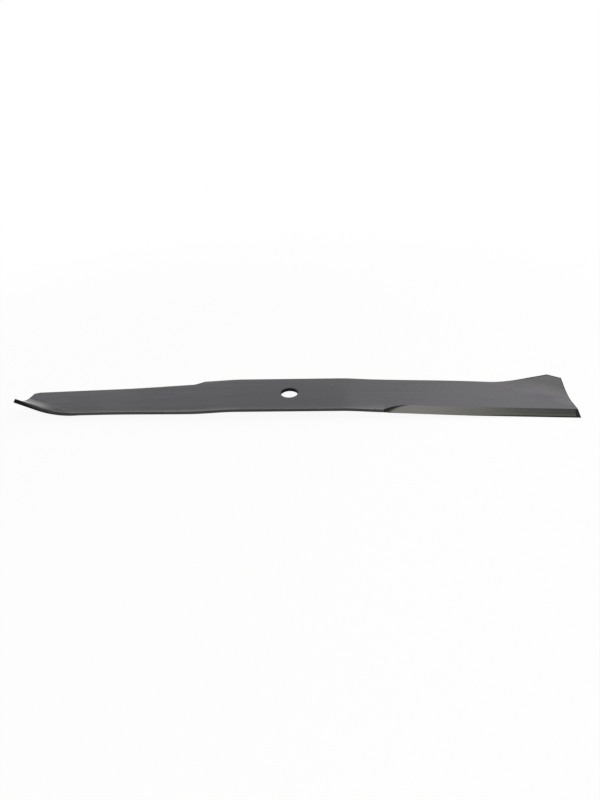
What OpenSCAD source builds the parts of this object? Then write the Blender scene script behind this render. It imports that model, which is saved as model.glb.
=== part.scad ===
// Rotary mower blade: one flat steel bar with a spindle-bolt hole through its middle.
// The arms step down from the flat hub and twist so that each cutting edge runs low.
// Each cutting edge has a milled bevel on top, which ends towards the hub at a curved, sloping wall.
// Each trailing corner is bent up along a skewed line into a sail.
// Millimetres, +X along the bar, +Z up; the origin is on the hole's axis in the hub's top face.

/* [Bar] */
// Length of the blade before the sails are bent up, tip to tip
bar_len = 508; // [460:1:560]
// Width of the bar across the hub
bar_w = 51.5; // [46:0.5:58]
// Thickness of the bar
bar_t = 3.6; // [3:0.1:5]
// Rounding along the bar's long edges
edge_r = 0.9; // [0.3:0.05:1.2]
// How far the trailing edge comes in between the hub and the sail
trail_in = 3; // [0:0.1:6]

/* [Hub] */
// Diameter of the spindle-bolt hole
bore_d = 15.9; // [10:0.1:26]
// Length of the flat middle
hub_flat = 92.3; // [70:0.1:110]
// Length of the step from the hub down to the arm
step_len = 39.3; // [25:0.1:60]
// Height of that step
step_drop = 0.85; // [0:0.01:4]

/* [Arm] */
// Downward slope of the arm
droop = 2; // [0:0.1:4]
// Length over which the slope sets in
droop_blend = 15; // [5:1:30]
// Distance from the hub's flat to the start of the twist
twist_gap = 29.5; // [5:0.5:45]
// Length of the twisted stretch
twist_len = 96.5; // [60:0.5:120]
// Pitch of the arm beyond the twist, cutting edge low
pitch = 3.64; // [0:0.02:8]

/* [Cutting edge] */
// Length of the full-width bevel, from the tip
cut_len = 145.4; // [90:0.2:150]
// Length of the curved run-out at the bevel's inner end
runout_len = 25.5; // [15:0.5:35]
// Slope of the wall that the cutter leaves there
runout_wall = 50; // [42:1:65]
// Width of the bevel across the top face
bevel_w = 8; // [5:0.1:12]
// Thickness left at the cutting edge
edge_land = 0.38; // [0.3:0.01:1]

/* [Sail] */
// Distance from the tip to where the bend leaves the trailing edge
sail_len = 63.7; // [45:0.1:72]
// Angle between the bend line and the bar
sail_skew = 27.4; // [18:0.1:32]
// Angle through which the sail is bent up
sail_angle = 47.7; // [15:0.1:60]
// Inside radius of the bend
sail_r = 19.5; // [8:0.1:24]
// Lean of the sail's end edge towards the hub
end_lean = 4.5; // [0:0.1:10]
// Length of the cut at the sail's outer corner, along the trailing edge
corner_len = 10.7; // [4:0.1:16]
// Depth of that cut, along the end edge
corner_in = 5.45; // [1:0.05:8]

/* [Hidden] */
steel = [0.33, 0.33, 0.35];
bore_fn = 96;
bore_past = 1;
// steps along the plain arm, the run-out, the bevelled arm, the sail and the cut corner
arm_steps = 10;
runout_steps = 14;
bevel_steps = 9;
sail_steps = 16;
corner_steps = 3;
// how much the run-out's steps crowd towards its start, where its wall is high
runout_crowd = 1.5;
// facets around the sail's bend, and the spacing of its lines where they meet an edge
bend_n = 7;
bend_gap = 0.5;
// share of the land that its underside rounding takes
land_share = 0.6;
// least and most of the cut's width at which its middle line lies
mid_least = 0.15;
mid_most = 0.9;
tip = bar_len / 2;
hub_end = hub_flat / 2;
step_end = hub_end + step_len;
twist_from = hub_end + twist_gap;
cut_from = tip - cut_len;
run_from = cut_from - runout_len;
sail_from = tip - sail_len;
corner_from = tip - corner_len;
cut_v = -bar_w / 2;
sail_v = bar_w / 2 - trail_in;
sail_arc = sail_r * sail_angle * PI / 180;
// setback of a rounded corner's middle point, and a bevel chord's bulge to it
round_k = 1 - sqrt(0.5);
bulge = (0.5 - round_k) * edge_r;
// bevel: depth at the edge, fall across its width, radius of the cutter's path edge, slope of its wall
bevel_h = bar_t - edge_land;
bevel_fall = bevel_h / bevel_w;
cutter_r = (runout_len * runout_len + bevel_w * bevel_w) / (2 * bevel_w);
wall_fall = tan(runout_wall);
fall_share = bevel_fall / wall_fall;
// last step of each stretch
runout_last = arm_steps + runout_steps;
bevel_last = runout_last + bevel_steps;
sail_last = bevel_last + sail_steps;
all_steps = sail_last + corner_steps;
// points around one cross-section: six on each edge and two rows of bend lines
per = 12 + 2 * (bend_n + 1);
tip_at = per * all_steps;
arm_points = tip_at + per;

function limit(u) = min(1, max(0, u));
function ease(u) = let(c = limit(u)) c * c * (3 - 2 * c);
function soft_ramp(u) = u <= 0 ? 0 : u < droop_blend ? u * u / (2 * droop_blend) : u - droop_blend / 2;

// height of the top face on the bar's centre line, and pitch of the section
function top_z(x) = -step_drop * ease((x - hub_end) / step_len) - tan(droop) * soft_ramp(x - hub_end);
function pitch_at(x) = pitch * ease((x - twist_from) / twist_len);

// outline of the flat blank: trailing edge with its cut corner
function trail_v(u) = bar_w / 2 - trail_in * limit((u - step_end) / (sail_from - step_end));
function corner_v(u) = trail_v(u) - corner_in * limit((u - corner_from) / corner_len);

// run-out at x before the full bevel: width up to its wall, and depth of the wall at q from the edge
function run_x(u) = min(runout_len, max(0, cut_from - u));
function wall_top(x) = bevel_w - cutter_r + sqrt(cutter_r * cutter_r - x * x);
function wall_h(x, q) = wall_fall * (cutter_r - sqrt(x * x + pow(cutter_r - bevel_w + q, 2)));
// distance from the edge of the line where the wall meets the bevel
function wall_foot(x) =
    let(b = cutter_r * (1 - fall_share))
    let(a = 1 - fall_share * fall_share)
    let(d = b * b - a * x * x)
    d < 0 ? 0 : bevel_w - (b - sqrt(d)) / a;

// place across the blank of bend line i, kept between the bevel and the trailing edge
function bend_line(u, i) =
    sail_v + (sail_arc * i / bend_n - (u - sail_from) * sin(sail_skew)) / cos(sail_skew);
function bend_v(u, i) =
    max(cut_v + bevel_w + bend_gap * (i + 1),
        min(bend_line(u, i), corner_v(u) - edge_r - bend_gap * (bend_n + 1 - i)));

// set-back of the end edge beyond the bend
function lean_at(u, v) =
    tan(end_lean) * limit((u - sail_from) / sail_len) * max(0, v - bend_v(u, 0));

// flat blank to finished form: w is the depth below the top face
function form(u, v, w) =
    let(s = (u - sail_from) * sin(sail_skew) + (v - sail_v) * cos(sail_skew))
    let(a = min(sail_angle, max(0, s / sail_r * 180 / PI)))
    let(past = max(0, s - sail_arc))
    let(reach = s < 0 ? s : sail_r * sin(a) + past * cos(a))
    let(rise = s < 0 ? 0 : sail_r * (1 - cos(a)) + past * sin(a))
    let(shift = reach - w * sin(a) - s)
    let(x = u + shift * sin(sail_skew))
    let(y = v + shift * cos(sail_skew))
    let(z = rise + w * cos(a))
    let(p = pitch_at(x))
    [x, y * cos(p) - z * sin(p), top_z(x) + y * sin(p) + z * cos(p)];

// trailing edge, from its underside up to its top
function trail_points(e) = [
    [e - edge_r, -bar_t],
    [e - edge_r * round_k, -bar_t + edge_r * round_k],
    [e, -bar_t + edge_r],
    [e, -edge_r],
    [e - edge_r * round_k, -edge_r * round_k],
    [e - edge_r, 0]
];

// cutting edge, from the bevel's top line down to the underside
function cut_points(u) =
    let(x = run_x(u))
    let(top = wall_top(x))
    let(deep = min(bevel_h, wall_h(x, 0)))
    let(is_cut = deep > edge_r && top > edge_r)
    let(across = is_cut ? top : edge_r)
    let(down = is_cut ? deep : edge_r)
    let(mid = is_cut ? min(mid_most * top, max(mid_least * top, wall_foot(x))) : edge_r / 2 - bulge)
    let(mid_h = is_cut ? min(bevel_fall * (bevel_w - mid), wall_h(x, mid)) : edge_r / 2 - bulge)
    let(low = min(edge_r, (bar_t - down) * land_share))
    [
        [cut_v + across, 0],
        [cut_v + mid, -mid_h],
        [cut_v, -down],
        [cut_v, -bar_t + low],
        [cut_v + low * round_k, -bar_t + low * round_k],
        [cut_v + low, -bar_t]
    ];

// one cross-section of the blank, then the same section in its finished form
function blank_section(u) = concat(
    trail_points(corner_v(u)),
    [for (i = [bend_n : -1 : 0]) [bend_v(u, i), 0]],
    cut_points(u),
    [for (i = [0 : bend_n]) [bend_v(u, i), -bar_t]]
);
function section(u) = [for (q = blank_section(u)) form(u - lean_at(u, q[0]), q[0], q[1])];

function station(i) =
    i <= arm_steps ? hub_end + (run_from - hub_end) * i / arm_steps :
    i <= runout_last ? run_from + runout_len * pow((i - arm_steps) / runout_steps, runout_crowd) :
    i <= bevel_last ? cut_from + (sail_from - cut_from) * (i - runout_last) / bevel_steps :
    i <= sail_last ? sail_from + (corner_from - sail_from) * (i - bevel_last) / sail_steps :
    corner_from + corner_len * (i - sail_last) / corner_steps;

// faces of one arm whose points start at index o
function arm_faces(o) = [
    for (i = [0 : all_steps - 1])
        for (j = [0 : per - 1])
            let(k = (j + 1) % per)
            let(a = o + i * per)
            let(b = a + per)
            each [[a + j, b + j, b + k], [a + j, b + k, a + k]]
];

// points of one section that lie in pairs across the thickness, from the trailing edge to the cutting edge
under_row = [0, for (i = [0 : bend_n]) per - 1 - i, per - bend_n - 2];
over_row = [for (i = [0 : bend_n + 2]) 5 + i];
last_pair = bend_n + 2;

// end face of one arm: a strip of pairs
end_under = concat([2, 1], under_row, [per - bend_n - 3, per - bend_n - 4]);
end_over = concat([3, 4], over_row, [bend_n + 8, bend_n + 9]);
function strip(lower, upper) = [
    for (i = [0 : len(lower) - 2])
        each [[lower[i], lower[i + 1], upper[i + 1]], [lower[i], upper[i + 1], upper[i]]]
];
function end_faces(o) = strip([for (j = end_under) o + j], [for (j = end_over) o + j]);

// flat hub between the two arms: top, underside and both long edges
function turned(row) = [for (i = [0 : last_pair]) arm_points + row[last_pair - i]];
edge_under = [for (j = [0 : 5]) arm_points + per - bend_n - 2 - j];
edge_over = [for (j = [0 : 5]) per - bend_n - 2 - j];
hub_faces = concat(
    strip(over_row, turned(over_row)),
    strip(turned(under_row), under_row),
    strip([for (j = [0 : 5]) j], edge_under),
    strip([for (j = [0 : 5]) arm_points + j], edge_over)
);

// the whole bar as one skin: one arm, and the same arm turned half round the hole's axis
module formed_bar() {
    right = [for (i = [0 : all_steps]) each section(station(i))];
    left = [for (q = right) [-q[0], -q[1], q[2]]];
    polyhedron(
        points = concat(right, left),
        faces = concat(
            arm_faces(0), end_faces(tip_at),
            arm_faces(arm_points), end_faces(arm_points + tip_at),
            hub_faces
        ),
        convexity = 6
    );
}

module blade() {
    color(steel)
        difference() {
            formed_bar();
            translate([0, 0, -bar_t - bore_past])
                cylinder(d = bore_d, h = bar_t + 2 * bore_past, $fn = bore_fn);
        }
}

blade();
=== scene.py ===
import math

import bpy
import numpy as np
from mathutils import Matrix, Vector


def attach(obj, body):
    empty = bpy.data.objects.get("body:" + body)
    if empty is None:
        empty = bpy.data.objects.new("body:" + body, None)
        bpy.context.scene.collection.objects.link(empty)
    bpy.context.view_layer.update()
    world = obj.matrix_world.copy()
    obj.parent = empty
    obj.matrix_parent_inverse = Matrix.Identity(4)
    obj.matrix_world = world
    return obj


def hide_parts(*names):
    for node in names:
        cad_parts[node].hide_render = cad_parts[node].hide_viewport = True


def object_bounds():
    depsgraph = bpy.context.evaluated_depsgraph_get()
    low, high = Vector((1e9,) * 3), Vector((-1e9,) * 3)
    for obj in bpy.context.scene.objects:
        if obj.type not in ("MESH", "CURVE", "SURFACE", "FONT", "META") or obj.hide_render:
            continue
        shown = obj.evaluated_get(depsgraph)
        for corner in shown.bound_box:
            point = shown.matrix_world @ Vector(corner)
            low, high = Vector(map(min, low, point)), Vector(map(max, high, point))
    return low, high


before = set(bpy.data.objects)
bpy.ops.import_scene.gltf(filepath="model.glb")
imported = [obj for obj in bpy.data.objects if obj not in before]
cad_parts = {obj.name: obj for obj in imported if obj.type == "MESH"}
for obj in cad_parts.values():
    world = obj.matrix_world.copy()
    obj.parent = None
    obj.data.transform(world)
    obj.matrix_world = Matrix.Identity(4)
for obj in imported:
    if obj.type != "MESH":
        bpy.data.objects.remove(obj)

cad_box = [list(c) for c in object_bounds()]
MM = 0.001

# Blade sizes in millimetres, the same as the CAD part's
# Bar: length, width, thickness, rounding of the long edges, and how far the trailing edge comes in
BAR_LEN = 508.0
BAR_W = 51.5
BAR_T = 3.6
EDGE_R = 0.9
TRAIL_IN = 3.0
# Hub: diameter of the hole, length of the flat middle, and length and height of the step down to the arm
BORE_D = 15.9
HUB_FLAT = 92.3
STEP_LEN = 39.3
STEP_DROP = 0.85
# Arm: its slope, the length over which that sets in, the gap before the twist, the twist's length, the pitch
DROOP = math.radians(2.0)
DROOP_BLEND = 15.0
TWIST_GAP = 29.5
TWIST_LEN = 96.5
PITCH = math.radians(3.64)
# Cutting edge: lengths of the full bevel and of its run-out, slope of the run-out's wall, the bevel's width,
# and the thickness left at the edge
CUT_LEN = 145.4
RUNOUT_LEN = 25.5
RUNOUT_WALL = math.radians(50)
BEVEL_W = 8.0
EDGE_LAND = 0.38
# Sail: length from the tip, skew, angle and inside radius of its bend, lean of its end edge, and length and
# depth of its cut corner
SAIL_LEN = 63.7
SAIL_SKEW = math.radians(27.4)
SAIL_ANGLE = math.radians(47.7)
SAIL_R = 19.5
END_LEAN = math.radians(4.5)
CORNER_LEN = 10.7
CORNER_IN = 5.45

# Places and sizes that follow from these
TIP = BAR_LEN / 2
HUB_END = HUB_FLAT / 2
STEP_END = HUB_END + STEP_LEN
TWIST_FROM = HUB_END + TWIST_GAP
CUT_FROM = TIP - CUT_LEN
RUN_FROM = CUT_FROM - RUNOUT_LEN
SAIL_FROM = TIP - SAIL_LEN
CORNER_FROM = TIP - CORNER_LEN
CUT_V = -BAR_W / 2
SAIL_V = BAR_W / 2 - TRAIL_IN
SAIL_ARC = SAIL_R * SAIL_ANGLE
BEVEL_H = BAR_T - EDGE_LAND
BEVEL_FALL = BEVEL_H / BEVEL_W
CUTTER_R = (RUNOUT_LEN ** 2 + BEVEL_W ** 2) / (2 * BEVEL_W)
WALL_FALL = math.tan(RUNOUT_WALL)
FALL_SHARE = BEVEL_FALL / WALL_FALL

# Mesh fineness: points per rounded corner, columns across a flat, their least spacing, steps along the hub
ROUND_N = 8
COLS = 21
COL_GAP = 0.5
HUB_STEPS = 36
# How far before the sail the columns have turned to lie along its bend lines
COLS_LEAD = 12.0
# Grid on which vertices are welded, in steps per millimetre
WELD_STEPS = 1e4
# Foot of the run-out's wall: its number among the edge's points, its least distance from the wall's top,
# and the least share of that top's distance from the edge at which it lies
FOOT = 2
FOOT_GAP = 0.06
FOOT_LEAST = 0.15
# Share of the land at the cutting edge that its underside rounding takes
LAND_SHARE = 0.6
# Rows down the bevel, as shares of its width from the foot to the edge, without the dark edge line's row
BEVEL_ROWS = (0.0, 0.25, 0.5, 0.75)
# Dark line along the cutting edge: where it starts, its length to full width, and its least and full width
DARK_FROM = 140.0
DARK_LEN = 80.0
DARK_LEAST = 0.05
DARK_W = 1.0
# Rounding of the punched hole's rims, above and below, and the points across each
RIM_TOP = 0.2
RIM_UNDER = 0.55
RIM_TOP_N = 5
RIM_UNDER_N = 4
# Rings of vertices round the hole, as shares of the way from the hub's outline to the rim
HUB_RINGS = (0, 0.12, 0.45, 0.75, 0.92)
HUB_RINGS_UNDER = (0.92, 0.75, 0.45, 0)

# Points of one section, counted from the trailing edge's underside up and round: how many there are, the
# bevel's top and lower lines, and the two lines of the trailing edge's side face
PER = 4 * ROUND_N + 2 * COLS
CUT_FIRST = 2 * ROUND_N + COLS
CUT_LAST = CUT_FIRST + ROUND_N - 1
SIDE_ROWS = slice(ROUND_N - 1, ROUND_N + 1)

# Lengths of the run-out's start and of the tip, and how far before the sail its finer steps begin
RUN_START = 7.0
TIP_LEN = 5.0
BEND_LEAD = 8.0
# Stretches of one arm, each with its end and its number of steps: plain arm, start and rest of the run-out,
# bevelled arm, sail, cut corner and tip
STRETCHES = (
    (RUN_FROM, 18),
    (RUN_FROM + RUN_START, 28),
    (CUT_FROM, 24),
    (SAIL_FROM - BEND_LEAD, 30),
    (CORNER_FROM, 56),
    (TIP - TIP_LEN, 7),
    (TIP, 10),
)


def limit(u):
    """A number kept between 0 and 1."""
    return np.clip(u, 0, 1)


def ease(u):
    """A soft step from 0 to 1."""
    c = limit(u)
    return c * c * (3 - 2 * c)


def arm_stations():
    """Places along one arm where it has a section."""
    places = []
    start = HUB_END
    for end, steps in STRETCHES:
        places.extend(np.linspace(start, end, steps, endpoint=False))
        start = end
    return places + [TIP]


def top_z(x):
    """Height of the top face on the bar's centre line."""
    u = np.maximum(0, x - HUB_END)
    ramp = np.where(u < DROOP_BLEND, u * u / (2 * DROOP_BLEND), u - DROOP_BLEND / 2)
    return -STEP_DROP * ease((x - HUB_END) / STEP_LEN) - math.tan(DROOP) * ramp


def trail_v(u):
    """Place of the blank's trailing edge, with its cut corner."""
    e = BAR_W / 2 - TRAIL_IN * limit((u - STEP_END) / (SAIL_FROM - STEP_END))
    return float(e - CORNER_IN * limit((u - CORNER_FROM) / CORNER_LEN))


def run_x(u):
    """Distance before the full bevel, within the run-out."""
    return float(np.clip(CUT_FROM - u, 0, RUNOUT_LEN))


def wall_top(x):
    """Distance from the edge of the top line of the run-out's wall."""
    return BEVEL_W - CUTTER_R + math.sqrt(CUTTER_R ** 2 - x * x)


def wall_h(x, q):
    """Depth of the run-out's wall at a distance q from the edge."""
    return WALL_FALL * (CUTTER_R - math.hypot(x, CUTTER_R - BEVEL_W + q))


def wall_foot(x):
    """Distance from the edge of the line where the wall meets the bevel."""
    a = 1 - FALL_SHARE ** 2
    b = CUTTER_R * (1 - FALL_SHARE)
    d = b * b - a * x * x
    return 0.0 if d < 0 else BEVEL_W - (b - math.sqrt(d)) / a


def cut_depth(x):
    """Depth of the cut at the edge itself."""
    return min(BEVEL_H, wall_h(x, 0))


def is_cut(u):
    """Whether the cutter has taken the edge's rounding away at a station."""
    x = run_x(u)
    return cut_depth(x) > EDGE_R and wall_top(x) > EDGE_R


def dark_line(u):
    """Width of the dark line along the cutting edge."""
    return DARK_LEAST + (DARK_W - DARK_LEAST) * float(ease((u - DARK_FROM) / DARK_LEN))


def quarter(r, count=ROUND_N):
    """Set-backs of a rounded corner's points from both faces, from one face to the other."""
    a = np.linspace(0, math.pi / 2, count)
    return r * (1 - np.sin(a)), r * (1 - np.cos(a))


def cut_profile(u):
    """Cutting edge from the top face down: distance from the edge and depth of each point."""
    if not is_cut(u):
        return quarter(EDGE_R)
    x = run_x(u)
    top = wall_top(x)
    foot = min(top - FOOT_GAP, max(FOOT_LEAST * top, wall_foot(x)))
    mid = (top + foot) / 2
    mid_h, foot_h = [min(BEVEL_FALL * (BEVEL_W - q), wall_h(x, q)) for q in (mid, foot)]
    k = np.array(BEVEL_ROWS + (1 - dark_line(u) / BEVEL_W, 1.0))
    q = np.concatenate([[top, mid], foot * (1 - k)])
    return q, np.concatenate([[0, mid_h], foot_h + (cut_depth(x) - foot_h) * k])


def form(u, v, w):
    """Flat blank to finished blade; w is the height over the top face."""
    s = (u - SAIL_FROM) * math.sin(SAIL_SKEW) + (v - SAIL_V) * math.cos(SAIL_SKEW)
    a = np.clip(s / SAIL_R, 0, SAIL_ANGLE)
    past = np.maximum(0, s - SAIL_ARC)
    reach = np.where(s < 0, s, SAIL_R * np.sin(a) + past * np.cos(a))
    rise = np.where(s < 0, 0, SAIL_R * (1 - np.cos(a)) + past * np.sin(a))
    shift = reach - w * np.sin(a) - s
    x = u + shift * math.sin(SAIL_SKEW)
    y = v + shift * math.cos(SAIL_SKEW)
    z = rise + w * np.cos(a)
    p = PITCH * ease((x - TWIST_FROM) / TWIST_LEN)
    return np.stack([x, y * np.cos(p) - z * np.sin(p), top_z(x) + y * np.sin(p) + z * np.cos(p)], -1)


def columns(u, edge, line):
    """Places across the flat, from the trailing side: even at the hub, along the bend lines at the sail."""
    i = np.arange(COLS - 1, -1, -1)
    even = line + (edge - line) * (i + 1) / (COLS + 1)
    along_bend = SAIL_ARC * i / (COLS - 1) - (u - SAIL_FROM) * math.sin(SAIL_SKEW)
    bend = SAIL_V + along_bend / math.cos(SAIL_SKEW)
    bend = np.minimum(bend, edge - COL_GAP * (COLS - i))
    bend = np.maximum(bend, line + COL_GAP * (i + 1))
    k = ease((u - HUB_END) / (SAIL_FROM - HUB_END - COLS_LEAD))
    return even + (bend - even) * k


def section(u):
    """Points of the finished blade's section at a station."""
    e = trail_v(u)
    far, near = quarter(EDGE_R)
    cut_q, cut_h = cut_profile(u)
    low_far, low_near = quarter(min(EDGE_R, (BAR_T - cut_h[-1]) * LAND_SHARE))
    cols = columns(u, e - EDGE_R, CUT_V + cut_q[0])
    v = np.concatenate([e - far, e - near, cols, CUT_V + cut_q, CUT_V + low_near, cols[::-1]])
    w = np.concatenate([-BAR_T + near, -far, 0 * cols, -cut_h, -BAR_T + low_far, 0 * cols - BAR_T])
    lean = math.tan(END_LEAN) * limit((u - SAIL_FROM) / SAIL_LEN) * np.maximum(0, v - cols[-1])
    return form(u - lean, v, w)


# Material slots
PAINT = 0
BEVEL = 1
WALL = 2
RIM = 3
# Where the sail's rim of painted shade starts; its edge darkens by painted shade over this length from the
# sail's start, by this power
RIM_FROM = 213.0
SAIL_RIM = 60.0
RIM_POWER = 2
# Painted shade on the side faces, and how much darker the dark rim is in its lower half than in its upper
# half
SIDE_DARK = 1.0
RIM_LOW = 0.5
# Width of the dark line along the sail's end, and the dark tip patch's length at the bevel's top and at its
# edge
END_LINE = 0.8
DARK_TIP_TOP = 2.6
DARK_TIP_EDGE = 4.6
# Painted highlight line along the bevel: where it starts, its length to full strength, and its row
LINE_FROM = 165.0
LINE_LEN = 35.0
LINE_ROW = 3
# The bevel starts lighter, by this painted highlight over this length, and darkens by painted shade over the
# last length up to the tip
BEVEL_START_HIGHLIGHT = 0.85
LIGHT_LEN = 60.0
SHADE_LEN = 75.0
# Where painted shade starts, on the edge's rounding before the cut, and where the wall's lower half lightens
RUNOUT_SHADE_FROM = 83.2
SOFT_FROM = 87.5
# Wear and painted highlight of an edge's top rounding, from its side up to the top face
EDGE_WEAR_AND_HIGHLIGHT = np.array((0.0, 0.1, 0.4, 0.8, 1.0, 1.0, 0.8, 0.5))
# Wear and painted highlight of the top face at the edge, its reach, and the power by which it fades
FACE_WEAR_AND_HIGHLIGHT = 0.2
WEAR_HIGHLIGHT_REACH = 4.0
WEAR_HIGHLIGHT_POWER = 1.5
# Share of that wear and painted highlight on the trailing and leading edges of the near side, and on those
# of the far side
NEAR_TRAIL = 1.0
NEAR_LEAD = 0.6
FAR_WEAR_AND_HIGHLIGHT = 0.2

points = []
index = {}
wear_and_highlight = []
dark = []
faces = []
slots = []
sharp_edges = set()


def vertex(p, wear_highlight=0.0, shade=0.0):
    """A welded vertex, with its paint's wear and painted highlight, and its painted shade."""
    key = tuple(int(round(c * WELD_STEPS)) for c in p)
    if key not in index:
        index[key] = len(points)
        points.append([c * MM for c in p])
        wear_and_highlight.append(wear_highlight)
        dark.append(shade)
    return index[key]


def add(quad, slot=PAINT):
    """A face, without the points that welding has made one, and left out where none of it remains."""
    ring = [q for i, q in enumerate(quad) if q != quad[i - 1]]
    if len(ring) > 2:
        faces.append(ring)
        slots.append(slot)


def crease(a, b):
    """A sharp edge between two vertices."""
    sharp_edges.add((min(a, b), max(a, b)))


def sail_share(u):
    """Painted shade on the sail's edge at a station."""
    return float(limit((u - SAIL_FROM) / SAIL_RIM)) ** RIM_POWER


def face_wear_and_highlight(distance):
    """Wear and painted highlight of the top face at a distance from its edge."""
    return FACE_WEAR_AND_HIGHLIGHT * limit(1 - distance / WEAR_HIGHLIGHT_REACH) ** WEAR_HIGHLIGHT_POWER


def section_wear_and_highlight(u, trail, lead):
    """Edge wear and painted highlight, trailing and leading; painted highlight at the bevel's start and
    along it.
    """
    edge = trail_v(u) - EDGE_R
    line = CUT_V + cut_profile(u)[0][0]
    cols = columns(u, edge, line)
    wear_highlight = np.zeros(PER)
    wear_highlight[ROUND_N:2 * ROUND_N] = trail * EDGE_WEAR_AND_HIGHLIGHT
    wear_highlight[2 * ROUND_N:CUT_FIRST] = trail * face_wear_and_highlight(edge - cols)
    wear_highlight *= 1 - sail_share(u)
    if is_cut(u):
        # Painted highlight at the bevel's start and along its line
        wear_highlight[CUT_FIRST + FOOT:CUT_LAST] = BEVEL_START_HIGHLIGHT * (1 - ease((u - CUT_FROM) / LIGHT_LEN))
        wear_highlight[CUT_FIRST + FOOT + LINE_ROW] += ease((u - LINE_FROM) / LINE_LEN)
    else:
        wear_highlight[2 * ROUND_N:CUT_FIRST] += lead * face_wear_and_highlight(cols - line)
        wear_highlight[CUT_FIRST:CUT_LAST + 1] = lead * EDGE_WEAR_AND_HIGHLIGHT[::-1]
    return wear_highlight


def section_shade(u):
    """Painted shade on the side faces, the sail's edge and end, the bevel at the tip and the run-out's wall.
    """
    shade = np.zeros(PER)
    shade[SIDE_ROWS] = SIDE_DARK * (u < RIM_FROM)
    if not is_cut(u):
        shade[CUT_LAST:CUT_LAST + 2] = SIDE_DARK
    shade[:2 * ROUND_N - 1] += sail_share(u)
    shade[:ROUND_N] += RIM_LOW * (u > RIM_FROM)
    if u > TIP - END_LINE:
        shade[:CUT_FIRST] = 1
    # Painted shade on the bevel towards the tip
    shade[CUT_FIRST + FOOT:CUT_FIRST + FOOT + LINE_ROW] = ease((u - TIP + SHADE_LEN) / SHADE_LEN)
    # Painted shade at the foot of the run-out's wall
    if is_cut(u) and run_x(u) > 0:
        shade[CUT_FIRST + FOOT - 1] = 1
    return shade


def arm_slot(j, u, cut, walled):
    """Material of the face that follows point j of a section, at station u."""
    # The sail's rim and end line take the rim material's painted shade
    on_rim = j < 2 * ROUND_N - 1 and u > RIM_FROM
    on_end_line = j < CUT_FIRST and u > TIP - END_LINE
    if on_rim or on_end_line:
        return RIM
    if not CUT_FIRST <= j < CUT_LAST + ROUND_N:
        return PAINT
    if not cut:
        return WALL if u > RUNOUT_SHADE_FROM else PAINT
    row = j - CUT_FIRST - FOOT
    if row < 0:
        return WALL if walled and (row == -FOOT or u < SOFT_FROM) else BEVEL
    if row >= len(BEVEL_ROWS):
        return WALL
    dark_tip = DARK_TIP_TOP + (DARK_TIP_EDGE - DARK_TIP_TOP) * BEVEL_ROWS[row]
    return WALL if u > TIP - dark_tip else BEVEL


def add_arm(turn):
    """One arm with its end face, on the right, or turned half round the spindle's axis."""
    stations = arm_stations()
    rows = []
    edges = (NEAR_TRAIL, FAR_WEAR_AND_HIGHLIGHT) if turn else (FAR_WEAR_AND_HIGHLIGHT, NEAR_LEAD)
    for u in stations:
        p = section(u)
        if turn:
            p = p * np.array([-1, -1, 1])
        rows.append([vertex(*q) for q in zip(p, section_wear_and_highlight(u, *edges), section_shade(u))])
    for i, (a, b) in enumerate(zip(rows, rows[1:])):
        cut = is_cut(stations[i + 1])
        walled = cut and run_x(stations[i]) > 0
        for j in range(PER):
            k = (j + 1) % PER
            add([a[j], a[k], b[k], b[j]], arm_slot(j, stations[i], cut, walled))
        if cut:
            for j in (CUT_FIRST, CUT_LAST):
                crease(a[j], b[j])
    end = rows[-1]
    over = list(range(ROUND_N, CUT_LAST + 1))
    under = list(range(ROUND_N - 1, -1, -1)) + list(range(PER - 1, CUT_LAST, -1))
    for i in range(len(over) - 1):
        add([end[over[i]], end[over[i + 1]], end[under[i + 1]], end[under[i]]], WALL)
        crease(end[over[i]], end[over[i + 1]])
        crease(end[under[i]], end[under[i + 1]])
    crease(end[over[0]], end[under[0]])
    crease(end[over[-1]], end[under[-1]])


def add_hub_edges(xs):
    """Both long edges of the hub, far and near."""
    far, near = quarter(EDGE_R)
    v = np.concatenate([BAR_W / 2 - far, BAR_W / 2 - near])
    w = np.concatenate([-BAR_T + near, -far])
    # Wear and painted highlight on the top rounding; painted shade on the side face
    wear_highlight = np.concatenate([np.zeros(ROUND_N), EDGE_WEAR_AND_HIGHLIGHT])
    shade = np.zeros(2 * ROUND_N)
    shade[SIDE_ROWS] = SIDE_DARK
    for side, share in ((1, FAR_WEAR_AND_HIGHLIGHT), (-1, NEAR_LEAD)):
        strips = []
        for x in xs:
            edge = zip(v, w, share * wear_highlight, shade)
            strips.append([vertex((side * x, side * y, z), c, d) for y, z, c, d in edge])
        for a, b in zip(strips, strips[1:]):
            for j in range(len(v) - 1):
                add([b[j], b[j + 1], a[j + 1], a[j]])


def hub_levels(outer):
    """Rings from the hub's outline over the top, down through the hole and back along the underside."""
    ang = np.arctan2(outer[:, 1], outer[:, 0])
    unit = np.stack([np.cos(ang), np.sin(ang)], -1)
    r = BORE_D / 2
    levels = [(outer * (1 - k) + unit * (r + RIM_TOP) * k, 0.0) for k in HUB_RINGS]
    for out, down in zip(*quarter(RIM_TOP, RIM_TOP_N)):
        levels.append((unit * (r + out), -down))
    for out, up in list(zip(*quarter(RIM_UNDER, RIM_UNDER_N)))[::-1]:
        levels.append((unit * (r + out), -BAR_T + up))
    for k in HUB_RINGS_UNDER:
        levels.append((outer * (1 - k) + unit * (r + RIM_UNDER) * k, -BAR_T))
    return levels


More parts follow.
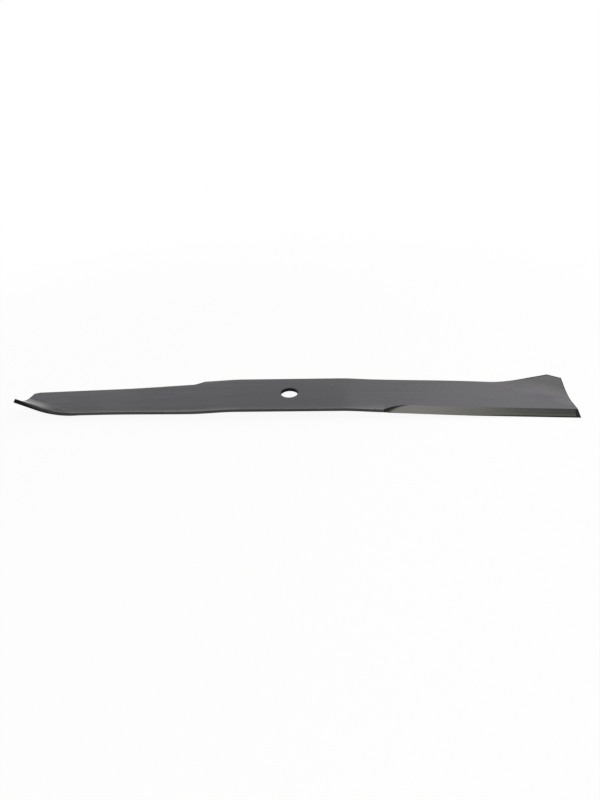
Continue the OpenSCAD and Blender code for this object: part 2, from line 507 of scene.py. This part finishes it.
def add_hub():
    """The flat middle between the arms, with the hole."""
    flat = BAR_W / 2 - EDGE_R
    cols = np.concatenate([[flat], columns(HUB_END, flat, -flat), [-flat]])[::-1]
    xs = np.linspace(HUB_END, -HUB_END, HUB_STEPS + 1)
    add_hub_edges(xs)
    ring = [(HUB_END, y) for y in cols[:-1]] + [(x, flat) for x in xs[:-1]]
    outer = np.array(ring + [(-x, -y) for x, y in ring])
    levels = hub_levels(outer)
    rows = [[vertex((x, y, z)) for x, y in xy] for xy, z in levels]
    top_rings = slice(1, len(HUB_RINGS))
    # Wear and painted highlight near the hub's long edges
    for row, (xy, _) in zip(rows[top_rings], levels[top_rings]):
        for i, (_, y) in zip(row, xy):
            wear_and_highlight[i] = float(face_wear_and_highlight(flat - abs(y))) * (NEAR_LEAD if y < 0 else FAR_WEAR_AND_HIGHLIGHT)
    count = len(outer)
    for a, b, upper, lower in zip(rows, rows[1:], levels, levels[1:]):
        slot = WALL if lower[1] < 0 and upper[1] > -BAR_T else PAINT
        for i in range(count):
            k = (i + 1) % count
            add([a[i], a[k], b[k], b[i]], slot)


def new_material(name):
    """A material and its empty node tree."""
    mat = bpy.data.materials.new(name)
    mat.use_nodes = True
    tree = mat.node_tree
    tree.nodes.clear()
    return mat, tree


def make(tree, kind, **values):
    """A node; each value sets a property or, with in_ before a name or number, an input."""
    node = tree.nodes.new(kind)
    for key, value in values.items():
        if key.startswith("in_"):
            name = key.removeprefix("in_")
            node.inputs[int(name) if name.isdigit() else name.replace("_", " ")].default_value = value
        else:
            setattr(node, key, value)
    return node


def noise(tree, stretch, detail=3.0, rough=0.5):
    """Noise over the object's own coordinates; stretch gives features per metre along X, Y and Z."""
    coord = make(tree, "ShaderNodeTexCoord")
    place = make(tree, "ShaderNodeMapping", in_Scale=stretch)
    tex = make(tree, "ShaderNodeTexNoise", in_Scale=1.0, in_Detail=detail, in_Roughness=rough)
    tree.links.new(coord.outputs["Object"], place.inputs["Vector"])
    tree.links.new(place.outputs["Vector"], tex.inputs["Vector"])
    return tex.outputs["Fac"]


def spread(tree, value, low, high, from_low=0.3, from_high=0.7):
    """A value spread from its own range, by default that of noise, to another range, and kept within it."""
    node = make(
        tree,
        "ShaderNodeMapRange",
        in_From_Min=from_low,
        in_From_Max=from_high,
        in_To_Min=low,
        in_To_Max=high,
    )
    tree.links.new(value, node.inputs["Value"])
    return node.outputs[0]


def combined(tree, operation, first, *others):
    """Several values taken together by one kind of arithmetic."""
    for other in others:
        node = make(tree, "ShaderNodeMath", operation=operation)
        tree.links.new(first, node.inputs[0])
        tree.links.new(other, node.inputs[1])
        first = node.outputs[0]
    return first


def product(tree, *factors):
    """Several values multiplied together."""
    return combined(tree, "MULTIPLY", *factors)


def scaled(tree, colour, factor):
    """A colour, fixed or varying, scaled by a varying factor."""
    node = make(tree, "ShaderNodeVectorMath", operation="SCALE")
    if isinstance(colour, tuple):
        node.inputs[0].default_value = colour
    else:
        tree.links.new(colour, node.inputs[0])
    tree.links.new(factor, node.inputs["Scale"])
    return node.outputs[0]


def bump(tree, height, distance, strength, after=None):
    """A surface roughened by a height, with its full depth in metres, on top of an earlier roughening."""
    node = make(tree, "ShaderNodeBump", in_Strength=strength, in_Distance=distance)
    tree.links.new(height, node.inputs["Height"])
    if after is not None:
        tree.links.new(after, node.inputs["Normal"])
    return node.outputs["Normal"]


def attribute(tree, name, low, high):
    """A vertex attribute from 0 to 1, spread between two values."""
    node = make(tree, "ShaderNodeAttribute", attribute_name=name)
    return spread(tree, node.outputs["Fac"], low, high, 0.0, 1.0)


def wear_and_highlight_colour(tree, paint, lighter):
    """The paint's colour, shading into a lighter one where its edge is worn and where highlight is painted.
    """
    # The mix node's colours are its inputs 6 and 7 and its output 2
    node = make(tree, "ShaderNodeMix", data_type="RGBA", in_6=paint + (1,), in_7=lighter + (1,))
    tree.links.new(attribute(tree, "wear_and_highlight", 0.0, 1.0), node.inputs[0])
    return node.outputs[2]


def along(tree, direction):
    """Distance from the spindle's axis along a direction, in metres; negative on the other side."""
    coord = make(tree, "ShaderNodeTexCoord")
    node = make(tree, "ShaderNodeVectorMath", operation="DOT_PRODUCT", in_1=direction)
    tree.links.new(coord.outputs["Object"], node.inputs[0])
    return node.outputs["Value"]


# Direction across the right sail's bend line, and that line's distance from the spindle's axis
BEND_WAY = (math.sin(SAIL_SKEW), math.cos(SAIL_SKEW), 0)
BEND_AT = SAIL_FROM * BEND_WAY[0] + SAIL_V * BEND_WAY[1]
# Painted highlight along that bend: where it rises and falls, in millimetres past the bend line, and its
# tone
BAND_RISE = (-5, 2)
BAND_FALL = (3, 7)
BAND_HIGHLIGHT = 1.95
# Its share where the bend starts, and the distances from the spindle's axis over which it grows to full
BAND_START = 0.35
BAND_GROWS = (200, 220)
# Roughness of each sail, as shares of the arm's: at the start of the bend and at the tip
RIGHT_MATT = (1.4, 1.06)
LEFT_MATT = (2.6, 0.5)
# Where it sets in, in millimetres past the bend line, and the distances from the axis over which it changes
MATT_RISE = (-1, 4)
MATT_TURNS = (212, 236)


def metres(span):
    """Two places given in millimetres."""
    return [s * MM for s in span]


def past_bend(span):
    """Two places past the bend line, as distances from the spindle's axis in metres."""
    return metres([BEND_AT + s for s in span])


def bend_highlight(tree):
    """A painted highlight: the paint is lighter along the bend line of the right sail."""
    across = along(tree, BEND_WAY)
    rise = spread(tree, across, 0.0, 1.0, *past_bend(BAND_RISE))
    fall = spread(tree, across, 1.0, 0.0, *past_bend(BAND_FALL))
    outward = spread(tree, along(tree, (1, 0, 0)), BAND_START, 1.0, *metres(BAND_GROWS))
    return spread(tree, product(tree, rise, fall, outward), 1.0, BAND_HIGHLIGHT, 0.0, 1.0)


def bend_matt(tree, side, shares):
    """Share of the paint's roughness on the sail of one side, right 1 or left -1."""
    across = along(tree, [side * c for c in BEND_WAY])
    outward = along(tree, (side, 0, 0))
    sail = spread(tree, outward, *shares, *metres(MATT_TURNS))
    start, end = past_bend(MATT_RISE)
    node = make(tree, "ShaderNodeMapRange", in_From_Min=start, in_From_Max=end, in_To_Min=1.0)
    tree.links.new(across, node.inputs["Value"])
    tree.links.new(sail, node.inputs["To Max"])
    return node.outputs[0]


def end_tree(tree, shader, kind="ShaderNodeOutputMaterial"):
    """The tree's output, which shows a shader."""
    out = make(tree, kind)
    tree.links.new(shader.outputs[0], out.inputs[0])


def finish_surface(tree, colour, rough, normal, specular):
    """The shader of one of the blade's surfaces."""
    shader = make(tree, "ShaderNodeBsdfPrincipled", in_Specular_IOR_Level=specular)
    tree.links.new(colour, shader.inputs["Base Color"])
    tree.links.new(rough, shader.inputs["Roughness"])
    tree.links.new(normal, shader.inputs["Normal"])
    end_tree(tree, shader)


# Colours of the paint, its lighter edges of wear and painted highlight, the bevel, the near-black cut faces
# and the sail's rim
PAINT_COLOUR = (0.0385, 0.0358, 0.0452)
BARE_AND_HIGHLIGHT_COLOUR = (0.17, 0.164, 0.16)
BEVEL_COLOUR = (0.0155, 0.0150, 0.0088)
WALL_COLOUR = (0.0135, 0.013, 0.0125)
RIM_COLOUR = (0.105, 0.102, 0.102)
# Tone of the paint, the bevel and the rim where each has the most painted shade, and of the bevel where it
# has the most painted highlight
PAINT_DARK = 0.35
BEVEL_DARK = 0.1
RIM_DARK = 0.17
BEVEL_HIGHLIGHT = 2.2
# The left bevel's roughness as a share of the right one's, and the half length of the change in the middle
LEFT_BEVEL_MATT = 2.5
MATT_CHANGE = 60


def paint_material():
    """Satin grey paint over rolled bar: lengthwise streaks, soft blotches, fine orange peel, edge wear,
    painted shade and highlight.
    """
    mat, tree = new_material("satin_grey_paint")
    streaks = noise(tree, stretch=(6, 500, 500), detail=4.0, rough=0.6)
    blotches = noise(tree, stretch=(22, 45, 45))
    peel = noise(tree, stretch=(900, 900, 900), detail=2.0)
    # Random streaks and blotches, painted shade, a painted highlight along the right bend, and edge wear
    # with painted highlight
    tone = product(
        tree,
        spread(tree, streaks, low=0.72, high=1.28),
        spread(tree, blotches, low=0.94, high=1.06),
        attribute(tree, "dark", 1.0, PAINT_DARK),
        bend_highlight(tree),
    )
    colour = scaled(tree, wear_and_highlight_colour(tree, PAINT_COLOUR, BARE_AND_HIGHLIGHT_COLOUR), tone)
    rough = product(
        tree,
        spread(tree, blotches, low=0.25, high=0.29),
        spread(tree, streaks, low=0.95, high=1.05),
        bend_matt(tree, 1, RIGHT_MATT),
        bend_matt(tree, -1, LEFT_MATT),
    )
    normal = bump(tree, streaks, distance=0.00002, strength=0.35)
    normal = bump(tree, peel, distance=0.00003, strength=0.25, after=normal)
    finish_surface(tree, colour, rough, normal, specular=0.5)
    return mat


def bevel_material():
    """The milled bevel under thinner, slightly olive paint, with fine marks along the edge, painted
    highlight and painted shade.
    """
    mat, tree = new_material("milled_bevel")
    marks = noise(tree, stretch=(14, 600, 600), rough=0.6)
    blotches = noise(tree, stretch=(30, 60, 60))
    tone = product(
        tree,
        spread(tree, marks, low=0.7, high=1.3),
        spread(tree, blotches, low=0.94, high=1.06),
        # Painted highlight at the bevel's start and along its line; painted shade towards the tip
        attribute(tree, "wear_and_highlight", 1.0, BEVEL_HIGHLIGHT),
        attribute(tree, "dark", 1.0, BEVEL_DARK),
    )
    rough = product(
        tree,
        spread(tree, blotches, low=0.24, high=0.28),
        spread(tree, marks, low=0.85, high=1.15),
        spread(tree, along(tree, (1, 0, 0)), LEFT_BEVEL_MATT, 1.0, -MATT_CHANGE * MM, MATT_CHANGE * MM),
    )
    normal = bump(tree, marks, distance=0.00004, strength=0.3)
    finish_surface(tree, scaled(tree, BEVEL_COLOUR, tone), rough, normal, specular=0.5)
    return mat


def wall_material():
    """Near-black painted shade on the steep cut and punched faces; the end faces, edge line and tip patch
    share it.
    """
    mat, tree = new_material("dark_cut_face")
    marks = noise(tree, stretch=(300, 300, 1200), rough=0.6)
    colour = scaled(tree, WALL_COLOUR, spread(tree, marks, low=0.85, high=1.15))
    rough = spread(tree, marks, low=0.55, high=0.65)
    normal = bump(tree, marks, distance=0.00003, strength=0.3)
    finish_surface(tree, colour, rough, normal, specular=0.1)
    return mat


def rim_material():
    """The sheared rim of the sail: grey at its start, darkening by painted shade towards the tip."""
    mat, tree = new_material("dark_rim")
    marks = noise(tree, stretch=(200, 500, 500), rough=0.6)
    tone = product(tree, spread(tree, marks, low=0.85, high=1.15), attribute(tree, "dark", 1.0, RIM_DARK))
    rough = spread(tree, marks, low=0.45, high=0.55)
    normal = bump(tree, marks, distance=0.00003, strength=0.3)
    finish_surface(tree, scaled(tree, RIM_COLOUR, tone), rough, normal, specular=0.0)
    return mat


def show(name, data):
    """An object in the scene."""
    obj = bpy.data.objects.new(name, data)
    bpy.context.scene.collection.objects.link(obj)
    return obj


def add_blade():
    """The finished blade as one mesh, in place of the CAD solid."""
    add_arm(False)
    add_arm(True)
    add_hub()
    mesh = bpy.data.meshes.new("blade_body")
    mesh.from_pydata(points, [], faces)
    # In the order of the slots' numbers
    for material in (paint_material, bevel_material, wall_material, rim_material):
        mesh.materials.append(material())
    mesh.polygons.foreach_set("material_index", np.array(slots, dtype=np.int32))
    mesh.polygons.foreach_set("use_smooth", np.ones(len(faces), dtype=bool))
    for e in mesh.edges:
        a, b = e.vertices
        e.use_edge_sharp = (min(a, b), max(a, b)) in sharp_edges
    for name, values in (("wear_and_highlight", wear_and_highlight), ("dark", dark)):
        mesh.attributes.new(name, "FLOAT", "POINT").data.foreach_set("value", values)
    mesh.update()
    blade = show("blade_body", mesh)
    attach(blade, "root")
    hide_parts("blade")


def seen_white(tree):
    """1 for rays that should show the plain white background: camera, glossy and transmission rays."""
    path = make(tree, "ShaderNodeLightPath")
    rays = ("Is Camera Ray", "Is Glossy Ray", "Is Transmission Ray")
    return combined(tree, "MAXIMUM", *[path.outputs[name] for name in rays])


def grey(level):
    """A shader's colour value for a grey."""
    return (level, level, level, 1)


def mixed(tree, share, first, second):
    """One shader turning into another as a share goes from 0 to 1."""
    node = make(tree, "ShaderNodeMixShader")
    tree.links.new(share, node.inputs[0])
    tree.links.new(first.outputs[0], node.inputs[1])
    tree.links.new(second.outputs[0], node.inputs[2])
    return node


def rectangle(width, height):
    """Corners of a rectangle round its centre."""
    x = width / 2
    y = height / 2
    return [(-x, -y), (x, -y), (x, y), (-x, y)]


def panel(name, corners, material):
    """A flat object with four corners."""
    mesh = bpy.data.meshes.new(name)
    mesh.from_pydata(corners, [], [(0, 1, 2, 3)])
    mesh.materials.append(material)
    return show(name, mesh)


# Floor: its size in metres, its colour as it is seen and as it returns light, and how much of it shows plain
# white near the blade, turning all white between two distances in metres from the spindle's axis
FLOOR_SIZE = 40.0
FLOOR_SEEN = 0.95
FLOOR_RETURN = 0.3
FLOOR_WHITE = 0.93
WHITE_FROM = 0.25
WHITE_TO = 0.8


def floor_material():
    """Shown as white with a faint shadow that fades out with distance; darker for the light it returns."""
    mat, tree = new_material("pale_floor")
    coord = make(tree, "ShaderNodeTexCoord")
    reach = make(tree, "ShaderNodeVectorMath", operation="LENGTH")
    tree.links.new(coord.outputs["Object"], reach.inputs[0])
    white = spread(tree, reach.outputs["Value"], FLOOR_WHITE, 1.0, WHITE_FROM, WHITE_TO)
    pale = make(tree, "ShaderNodeBsdfDiffuse", in_Color=grey(FLOOR_SEEN))
    glow = make(tree, "ShaderNodeEmission", in_Color=grey(1), in_Strength=1.0)
    matt = make(tree, "ShaderNodeBsdfDiffuse", in_Color=grey(FLOOR_RETURN))
    shown = mixed(tree, white, pale, glow)
    end_tree(tree, mixed(tree, seen_white(tree), matt, shown))
    return mat


def add_floor():
    """A level floor at the blade's lowest points."""
    lowest = cad_box[0][2]
    corners = [(x, y, lowest) for x, y in rectangle(FLOOR_SIZE, FLOOR_SIZE)]
    floor = panel("floor", corners, floor_material())


# Light that the surroundings give, from all sides
WORLD_COLOUR = (1.0, 0.99, 1.0, 1)
WORLD_STRENGTH = 0.35


def add_world():
    """White where it is seen, dimmer for the light that it gives."""
    world = bpy.data.worlds.new("studio")
    world.use_nodes = True
    tree = world.node_tree
    tree.nodes.clear()
    shown = make(tree, "ShaderNodeBackground", in_Color=grey(1), in_Strength=1.0)
    lit = make(tree, "ShaderNodeBackground", in_Color=WORLD_COLOUR, in_Strength=WORLD_STRENGTH)
    end_tree(tree, mixed(tree, seen_white(tree), lit, shown), "ShaderNodeOutputWorld")
    bpy.context.scene.world = world


def softbox(name, centre, turn, size, radiance, colour):
    """A level light shining down, its long side turned from X by an angle in degrees; sizes in metres."""
    data = bpy.data.lights.new(name, "AREA")
    data.shape = "RECTANGLE"
    data.size = size[0]
    data.size_y = size[1]
    data.energy = radiance * math.pi * size[0] * size[1]
    data.color = colour
    lamp = show(name, data)
    lamp.location = centre
    lamp.rotation_euler = (0, 0, math.radians(turn))


def grey_card(bearing, height, reach, size, strength):
    """A light grey card facing the blade, seen only in its gloss; angles in degrees, sizes in metres."""
    mat, tree = new_material("card_grey")
    glow = make(tree, "ShaderNodeEmission", in_Color=grey(1), in_Strength=strength)
    end_tree(tree, glow)
    turn = Matrix.Rotation(math.radians(bearing), 3, "Z") @ Matrix.Rotation(math.radians(height), 3, "X")
    card = panel("grey_card", [turn @ Vector((x, reach, z)) for x, z in rectangle(*size)], mat)
    card.visible_camera = False
    card.visible_diffuse = False
    card.visible_shadow = False
    card.visible_transmission = False


# Camera from the photograph: focal length and picture width in pixels; sensor width, place and aim in
# millimetres; roll in degrees
FOCAL_PX = 418.613
PICTURE_W = 600
SENSOR_MM = 36.0
CAMERA_AT = Vector((23.941, -325.671, 206.777))
CAMERA_AIM = Vector((10.169, -12.438, 0))
CAMERA_ROLL = 1.992


def add_camera():
    """The camera at the photograph's viewing angle."""
    data = bpy.data.cameras.new("camera")
    data.sensor_fit = "HORIZONTAL"
    data.sensor_width = SENSOR_MM
    data.lens = FOCAL_PX / PICTURE_W * SENSOR_MM
    data.clip_start = 0.01
    data.clip_end = 100
    camera = show("camera", data)
    ahead = (CAMERA_AIM - CAMERA_AT).normalized()
    right = ahead.cross(Vector((0, 0, 1))).normalized()
    up = right.cross(ahead)
    roll = Matrix.Rotation(math.radians(-CAMERA_ROLL), 3, "Z")
    axes = Matrix((right, up, -ahead)).transposed() @ roll
    camera.matrix_world = Matrix.Translation(CAMERA_AT * MM) @ axes.to_4x4()
    bpy.context.scene.camera = camera


add_blade()
add_floor()
add_world()
# A long soft light from the front to over the right arm, and a broad one behind that arm
softbox(
    "soft_front",
    centre=(0.21, -0.316, 1.0),
    turn=60,
    size=(1.58, 0.40),
    radiance=3.3,
    colour=(1.0, 0.985, 0.94),
)
softbox(
    "soft_back",
    centre=(0.875, 0.875, 1.0),
    turn=0,
    size=(1.25, 1.15),
    radiance=0.95,
    colour=(1.0, 0.98, 1.0),
)
# Two cards behind the blade on the left, over the picture's upper edge, which the left arm mirrors
grey_card(bearing=37, height=21.5, reach=3.0, size=(1.2, 0.88), strength=0.7)
grey_card(bearing=45, height=21, reach=2.9, size=(0.9, 0.88), strength=0.5)
add_camera()

bpy.context.scene.view_settings.view_transform = "Standard"
